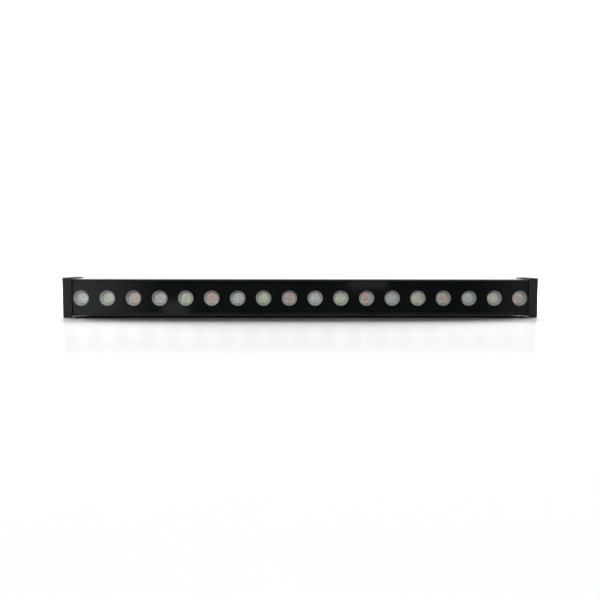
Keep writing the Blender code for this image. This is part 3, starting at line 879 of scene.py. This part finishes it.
for number, x in enumerate(led_xs, 1):
    tint = TINTS[(number - 1) % 3]
    shape = lens_shape()
    radii = [math.hypot(v.co.x, v.co.y) / MM for v in shape.verts]
    heights = [v.co.z / MM for v in shape.verts]
    upright = Matrix(((1, 0, 0), (0, 0, -1), (0, 1, 0))).to_4x4()
    lens = piece(
        f"collimator_{number:02d}",
        shape,
        [OPTIC[tint], FLANK, LENS_BODY, LENS_NOTCH],
        instead_of=[f"lens_{number:02d}"],
        smooth=40,
        matrix=Matrix.Translation(place(LENS_FRONT, LED_Z, x)) @ upright,
    )
    # the emitter's tint is painted on the lens face as its refracted image, and painted weaker towards the ends of the
    # bar, where the lens is seen at a slant
    painted_chip_image_strength = 1.1 * (1 - (x / 330.0) ** 2)
    middle = lens.data.attributes.new("middle", "FLOAT", "POINT")
    for index, (radius, height) in enumerate(zip(radii, heights)):
        middle.data[index].value = painted_chip_image_at(radius) * painted_chip_image_strength if height > -6.5 else 0.0

# ======================= end caps and their screws =======================
cap_back = arc(PIVOT_Y, PIVOT_Z, CAP_RADIUS, 90, -60, 48)
cap_outline = rounded(
    [
        (FRONT_Y + 33.0, 0.0),
        (FRONT_Y, 0.0),
        (FRONT_Y, CAP_HEIGHT),
        (FRONT_Y + NOSE_DEPTH, CAP_HEIGHT),
        (FRONT_Y + NOSE_DEPTH, PIVOT_Z + CAP_RADIUS),
    ]
    + cap_back,
    [0.6, 1.0, 1.3, 0.8, 0.5] + [0.0] * len(cap_back),
    5,
)
bar_grown = BAR_HALF + 0.3
pocket_outline = [
    (FRONT_Y + 0.7, BAR_Z - bar_grown),
    (FRONT_Y + 0.7, BAR_Z + bar_grown),
    (FRONT_Y + 20.0, BAR_Z + bar_grown),
    (FRONT_Y + 20.0, CAP_HEIGHT + 1.0),
    (FRONT_Y + 37.5, CAP_HEIGHT + 1.0),
    (FRONT_Y + 37.5, BAR_Z + bar_grown - 3.38),
    (FRONT_Y + 38.3, BAR_Z + bar_grown - 4.18),
    (FRONT_Y + 38.3, BAR_Z - bar_grown + 4.18),
    (FRONT_Y + 34.12, BAR_Z - bar_grown),
]


def about_middle(outline, grow):
    """An outline moved out by about a distance on every side."""
    middle_a, middle_b = 0.0, CAP_HEIGHT / 2
    return [
        (middle_a + (a - middle_a) * (1 + grow / 27.6), middle_b + (b - middle_b) * (1 + grow / 25.1))
        for a, b in outline
    ]


for side, s in (("left", -1), ("right", 1)):
    cap = plate(
        [cap_outline],
        CAP_THICK,
        ALONG_X,
        Vector((s * (CAP_OUTER_X - CAP_THICK / 2), 0, 0)) * MM,
        edge=0.4,
        edge_steps=2,
    )
    cap = cut(
        cap,
        cylinders([place(d, z, s * CAP_OUTER_X) for d, z in SCREW_PORTS], 3.25, 6.4, (1, 0, 0), 36),
    )
    cap = cut(
        cap,
        cylinders([place(d, z, s * CAP_OUTER_X) for d, z in SCREW_PORTS], 1.9, 30.0, (1, 0, 0), 24),
    )
    cap = cut(
        cap,
        cylinders([place(PIVOT_DEPTH, PIVOT_Z, s * CAP_OUTER_X)], 2.75, 10.8, (1, 0, 0), 36),
    )
    cap = cut(
        cap,
        plate(
            [about_middle(cap_outline, 1.5), about_middle(cap_outline, -0.35)],
            0.4,
            ALONG_X,
            Vector((s * 295.7, 0, 0)) * MM,
        ),
    )
    cap = cut(
        cap,
        plate(
            [pocket_outline],
            POCKET_END_X - CAP_INNER_X + 1.0,
            ALONG_X,
            Vector((s * (POCKET_END_X + CAP_INNER_X - 1.0) / 2, 0, 0)) * MM,
        ),
    )
    piece(f"cap_{side}", cap, [CAP_PAINT], instead_of=[f"end_cap_{side}"])
    for number, (d, z) in enumerate(SCREW_PORTS, 1):
        shape, _ = loft(
            [
                (-1.6,),
                (-1.5, 1.0, 9),
                (-0.2, 1.0, 9),
                (0.0, 1.3),
                (0.0, 2.3),
                (-0.12, 2.55),
                (-0.4, 2.72),
                (-0.8, 2.75),
                (-2.2, 2.75),
                (-2.2, 1.45),
                (-18.4, 1.45),
                (-19.0,),
            ],
            36,
        )
        piece(
            f"cap_screw_{side}_{number}",
            shape,
            [STEEL],
            instead_of=[f"end_cap_screw_{side}_{number}"],
            matrix=aimed((s, 0, 0), place(d, z, s * (CAP_OUTER_X - 0.6)), 0.4 * number),
        )

    # ---- bracket: one strip of sheet, bent over the top ----
    ARM_X, BEND_R, FOOT_Z, FOOT_END, SLOT_X = 301.1, 1.0, 48.7, 285.8, 292.6
    bend_start = FOOT_Z - BEND_R - PIVOT_Z
    bend_end = bend_start + BEND_R * math.pi / 2
    strip_end = bend_end + (ARM_X - BEND_R - FOOT_END)
    slot_u = bend_end + (ARM_X - BEND_R - SLOT_X)
    strip = (
        arc(0, 0, 10.0, 270, 90, 28)
        + rounded([(0, 10.0), (strip_end, 10.0), (strip_end, -10.0), (0, -10.0)], [0, 2.0, 2.0, 0], 6)[1:-1]
    )
    hole = circle(0, 0, 2.8, 36)
    slot_line = arc(slot_u + 1.25, 0, 3.25, -90, 90, 14) + arc(slot_u - 1.25, 0, 3.25, 90, 270, 14)
    sheet = bmesh.new()
    for loop in (strip, hole, slot_line):
        corners = [sheet.verts.new((u, v, 0.0)) for u, v in loop]
        for a, b in zip(corners, corners[1:] + corners[:1]):
            sheet.edges.new((a, b))
    bmesh.ops.triangle_fill(sheet, edges=sheet.edges[:], use_beauty=True)
    for k in range(9):
        bmesh.ops.bisect_plane(
            sheet,
            geom=sheet.verts[:] + sheet.edges[:] + sheet.faces[:],
            plane_co=(bend_start + (bend_end - bend_start) * k / 8, 0, 0),
            plane_no=(1, 0, 0),
            dist=1e-6,
        )
    for vertex in sheet.verts:
        u, v = vertex.co.x, vertex.co.y
        if u <= bend_start:
            x, z = ARM_X, PIVOT_Z + u
        elif u <= bend_end:
            t = (u - bend_start) / BEND_R
            x = ARM_X - BEND_R + BEND_R * math.cos(t)
            z = FOOT_Z - BEND_R + BEND_R * math.sin(t)
        else:
            x, z = ARM_X - BEND_R - (u - bend_end), FOOT_Z
        vertex.co = Vector((s * x, PIVOT_Y + v, z)) * MM
    bmesh.ops.recalc_face_normals(sheet, faces=sheet.faces)
    arm_faces = [f for f in sheet.faces if abs(f.calc_center_median().x) > (ARM_X - 0.01) * MM]
    if sum(f.normal.x * s for f in arm_faces) < 0:
        bmesh.ops.reverse_faces(sheet, faces=sheet.faces)
    bracket = piece(
        f"sheet_bracket_{side}",
        sheet,
        [BRACKET_PAINT],
        body=f"bracket_{side}",
        instead_of=[f"bracket_{side}"],
    )
    thick = bracket.modifiers.new("sheet", "SOLIDIFY")
    thick.thickness = 1.5 * MM
    thick.offset = 1.0
    thick.use_even_offset = True
    edge = bracket.modifiers.new("edge", "BEVEL")
    edge.width = 0.2 * MM
    edge.segments = 2
    edge.limit_method = "ANGLE"
    edge.angle_limit = math.radians(60)
    edge.use_clamp_overlap = True

    # ---- pivot: nylon washer, steel washer and button head bolt ----
    at = lambda x: place(PIVOT_DEPTH, PIVOT_Z, s * x)
    shape, _ = loft([(0.15, 2.9), (0.25, 3.0), (0.25, 7.9), (0.15, 8.0), (-0.25, 8.0), (-0.25, 2.9)], 56, True)
    piece(f"nylon_washer_{side}", shape, [NYLON], instead_of=[f"friction_washer_{side}"], matrix=aimed((s, 0, 0), at(300.55)))
    shape, _ = loft([(0.2, 2.8), (0.3, 2.92), (0.3, 5.35), (0.18, 5.5), (-0.3, 5.5), (-0.3, 2.8)], 56, True)
    piece(f"steel_washer_{side}", shape, [STEEL], instead_of=[f"pivot_washer_{side}"], matrix=aimed((s, 0, 0), at(303.2)))
    shape, _ = loft(
        [
            (0.8,),
            (0.85, 1.5, 9),
            (1.95, 1.5, 9),
            (2.2, 1.8),
            (2.2, 2.4),
            (2.12, 2.8),
            (1.9, 3.35),
            (1.5, 3.85),
            (0.9, 4.3),
            (0.3, 4.58),
            (0.0, 4.5),
            (0.0, 2.35),
            (-8.6, 2.35),
            (-8.9,),
        ],
        60,
    )
    piece(f"button_bolt_{side}", shape, [STEEL], instead_of=[f"pivot_bolt_{side}"], matrix=aimed((s, 0, 0), at(303.8), 0.3 * s))

    # ---- cable gland ----
    way = "in" if s < 0 else "out"
    at_back = place(BAR_BACK, BAR_Z, s * GLAND_X)
    turn = aimed((0, 1, 0), at_back, math.radians(12) * s)
    thread = []
    height = 0.1
    while height > -6.9:
        thread += [(height, 5.9), (height - 0.35, 5.55)]
        height -= 0.75
    shape, _ = loft(
        [
            (8.6, 4.6),
            (8.6, 5.5),
            (8.3, 5.85),
            (4.15, 5.85),
            (4.0, 6.2),
            (4.0, 7.1),
            (3.6, 7.25, 8.0),
            (3.3, 7.25, 8.38),
            (0.9, 7.25, 8.38),
            (0.5, 7.25, 8.1),
            (0.3, 7.2),
            (0.3, 5.9),
        ]
        + thread
        + [(-7.2, 5.5), (-7.2, 4.6)],
        60,
        True,
    )
    piece(f"gland_hex_{way}", shape, [NYLON], instead_of=[f"gland_body_{way}"], matrix=turn)
    shape, _ = loft(
        [
            (15.8, 3.9),
            (16.0, 4.1),
            (16.0, 4.9),
            (15.85, 5.3),
            (15.3, 5.9),
            (14.4, 6.5),
            (13.3, 6.95),
            (12.3, 7.1),
            (12.0, 6.95, 7.25),
            (11.6, 6.9, 7.6),
            (5.0, 6.9, 7.6),
            (4.6, 6.9, 7.3),
            (4.3, 6.85),
            (4.3, 6.3),
            (9.3, 6.2),
            (12.4, 3.95),
        ],
        60,
        True,
    )
    piece(f"gland_dome_{way}", shape, [NYLON], instead_of=[f"gland_nut_{way}"], matrix=turn)
    shape, _ = loft([(8.6, 3.3), (8.9, 3.5), (8.9, 4.1), (8.7, 4.3), (1.0, 4.3), (1.0, 3.3)], 48, True)
    piece(f"gland_ring_{way}", shape, [RUBBER], instead_of=[f"gland_seal_{way}"], matrix=turn)

# ======================= nodes carried over =======================
CARRIED = {
    "cover_gasket": RUBBER,
    "end_cap_gasket_left": RUBBER,
    "end_cap_gasket_right": RUBBER,
    "lens_carrier": CARRIER,
    "led_board": BOARD_WHITE,
    "led_board_screw_left": STEEL,
    "led_board_screw_right": STEEL,
    "thermal_pad": PAD,
    "driver_board": BOARD_GREEN,
    "driver_inductor": FERRITE,
    "driver_capacitor": CAN,
    "terminal_block": TERMINAL,
    "gland_locknut_in": NYLON,
    "gland_locknut_out": NYLON,
}
for name, look in CARRIED.items():
    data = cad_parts[name].data
    data.materials.clear()
    data.materials.append(look)
